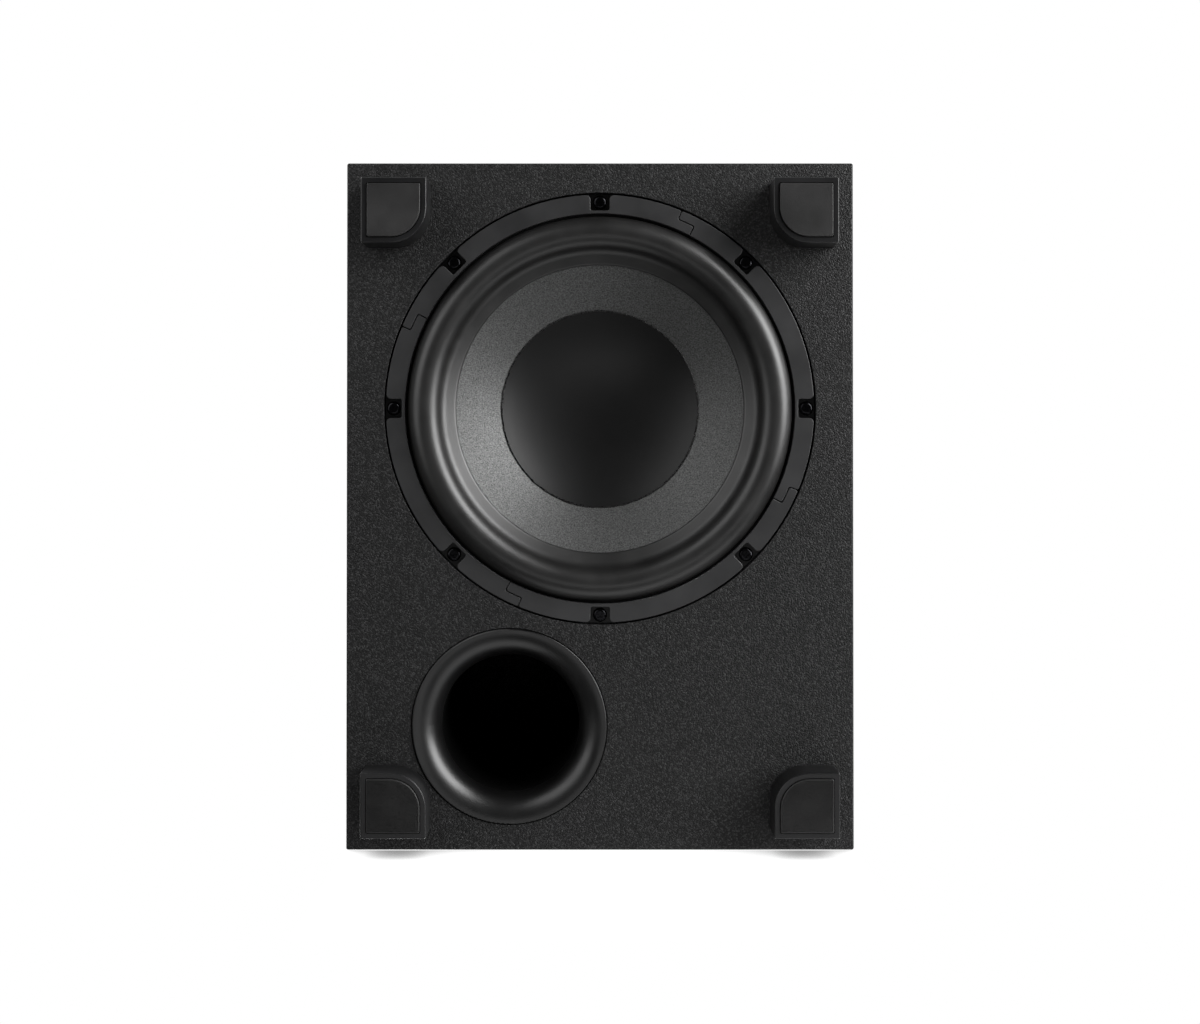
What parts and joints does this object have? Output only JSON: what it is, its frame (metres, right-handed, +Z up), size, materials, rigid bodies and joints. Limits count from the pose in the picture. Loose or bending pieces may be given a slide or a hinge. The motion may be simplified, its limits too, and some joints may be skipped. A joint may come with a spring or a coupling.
{
  "type": "powered subwoofer",
  "caption": "Down-firing powered subwoofer: black box cabinet on corner feet, large driver in a segmented trim ring, flared port, amplifier panel at the rear.",
  "frame": {"origin": "on the floor, under the middle of the whole object's bounding box", "axes": "+Z up with the driver and port firing down, -Y the front panel, +Y the rear with the amplifier"},
  "size_m": [0.364, 0.507, 0.434],
  "materials": {
    "cabinet_finish": "black pebble-textured wrap on fibreboard",
    "bare_board": "raw fibreboard",
    "wadding": "fluffy",
    "foot_plastic": "satin",
    "pad_rubber": "matt",
    "trim_plastic": "satin",
    "surround_rubber": "smooth satin",
    "cone_pulp": "fine silver-grey speckle",
    "cap_coating": "dead matt",
    "basket_paint": "satin",
    "black_screws": "glossy black oxide",
    "gasket_foam": "matt",
    "former_foil": "satin",
    "winding": "varnished copper",
    "spider_cloth": "resin-stiffened weave",
    "ferrite": "matt",
    "plated_steel": "zinc plated",
    "terminal_brass": "plated",
    "braid": "woven",
    "lead_insulation": "satin",
    "port_plastic": "satin",
    "plate_paint": "fine matt powder coat",
    "sink_anodised": "black anodised",
    "circuit_board": "solder mask",
    "capacitor_sleeve": "gloss",
    "toroid_wrap": "taped winding",
    "knob_plastic": "satin",
    "control_plastic": "satin",
    "jack_plastic": "semi-gloss",
    "jack_plating": "bright plated",
    "inlet_plastic": "satin",
    "blade_metal": "nickel plated",
    "led_lens": "clear tinted"
  },
  "bodies": {
    "cabinet": {"acoustic_lining": "wadding", "amp_board": "circuit_board", "amp_gasket": "gasket_foam", "amp_plate": "plate_paint", "amp_screws": "black_screws", "bottom_baffle": "cabinet_finish", "crossover_pot": "plated_steel", "driver_basket": "basket_paint", "driver_gasket": "gasket_foam", "driver_leads": "lead_insulation", "driver_screws": "black_screws", "driver_terminals": "terminal_brass", "filter_capacitors": "capacitor_sleeve", "foot_front_left": "foot_plastic", "foot_front_right": "foot_plastic", "foot_pad_front_left": "pad_rubber", "foot_pad_front_right": "pad_rubber", "foot_pad_rear_left": "pad_rubber", "foot_pad_rear_right": "pad_rubber", "foot_rear_left": "foot_plastic", "foot_rear_right": "foot_plastic", "foot_screws": "black_screws", "front_panel": "cabinet_finish", "heat_sink": "sink_anodised", "inlet_blades": "blade_metal", "input_jacks": "jack_plastic", "jack_shells": "jack_plating", "left_panel": "cabinet_finish", "magnet": "ferrite", "magnet_front_plate": "plated_steel", "mains_inlet": "inlet_plastic", "phase_switch": "control_plastic", "pole_yoke": "plated_steel", "port_inner_flare": "port_plastic", "port_mouth": "port_plastic", "port_tube": "port_plastic", "power_switch": "control_plastic", "rear_panel": "cabinet_finish", "right_panel": "cabinet_finish", "spider": "spider_cloth", "status_led": "led_lens", "surround": "surround_rubber", "tinsel_leads": "braid", "top_panel": "cabinet_finish", "transformer": "toroid_wrap", "trim_ring_segment_1": "trim_plastic", "trim_ring_segment_2": "trim_plastic", "trim_ring_segment_3": "trim_plastic", "trim_ring_segment_4": "trim_plastic", "volume_pot": "plated_steel", "window_brace": "bare_board"},
    "cone_assembly": {"cone": "cone_pulp", "dust_cap": "cap_coating", "coil_former": "former_foil", "voice_coil": "winding"},
    "volume_knob": {"volume_knob": "knob_plastic"},
    "crossover_knob": {"crossover_knob": "knob_plastic"},
    "phase_slider": {"phase_slider": "control_plastic"},
    "power_slider": {"power_slider": "control_plastic"},
    "fuse_drawer": {"fuse_drawer": "inlet_plastic"}
  },
  "joints": [
    {"name": "cone_travel", "type": "slide", "parent": "cabinet", "child": "cone_assembly", "axis": [0, 0, 1], "range_m": [-0.012, 0.012], "stiffness_N_per_m": 4500, "springref_m": 0.0003, "deforming": ["surround", "spider", "tinsel_leads"]},
    {"name": "volume_turn", "type": "hinge", "parent": "cabinet", "child": "volume_knob", "pos_m": [-0.066, 0.2395, 0.37], "axis": [0, 1, 0], "range_deg": [-150, 150]},
    {"name": "crossover_turn", "type": "hinge", "parent": "cabinet", "child": "crossover_knob", "pos_m": [-0.014, 0.2395, 0.37], "axis": [0, 1, 0], "range_deg": [-150, 150]},
    {"name": "phase_slide", "type": "slide", "parent": "cabinet", "child": "phase_slider", "axis": [1, 0, 0], "range_m": [0, 0.004]},
    {"name": "power_slide", "type": "slide", "parent": "cabinet", "child": "power_slider", "axis": [1, 0, 0], "range_m": [-0.004, 0.004]},
    {"name": "fuse_drawer_pull", "type": "slide", "parent": "cabinet", "child": "fuse_drawer", "axis": [0, 1, 0], "range_m": [0, 0.016]}
  ]
}
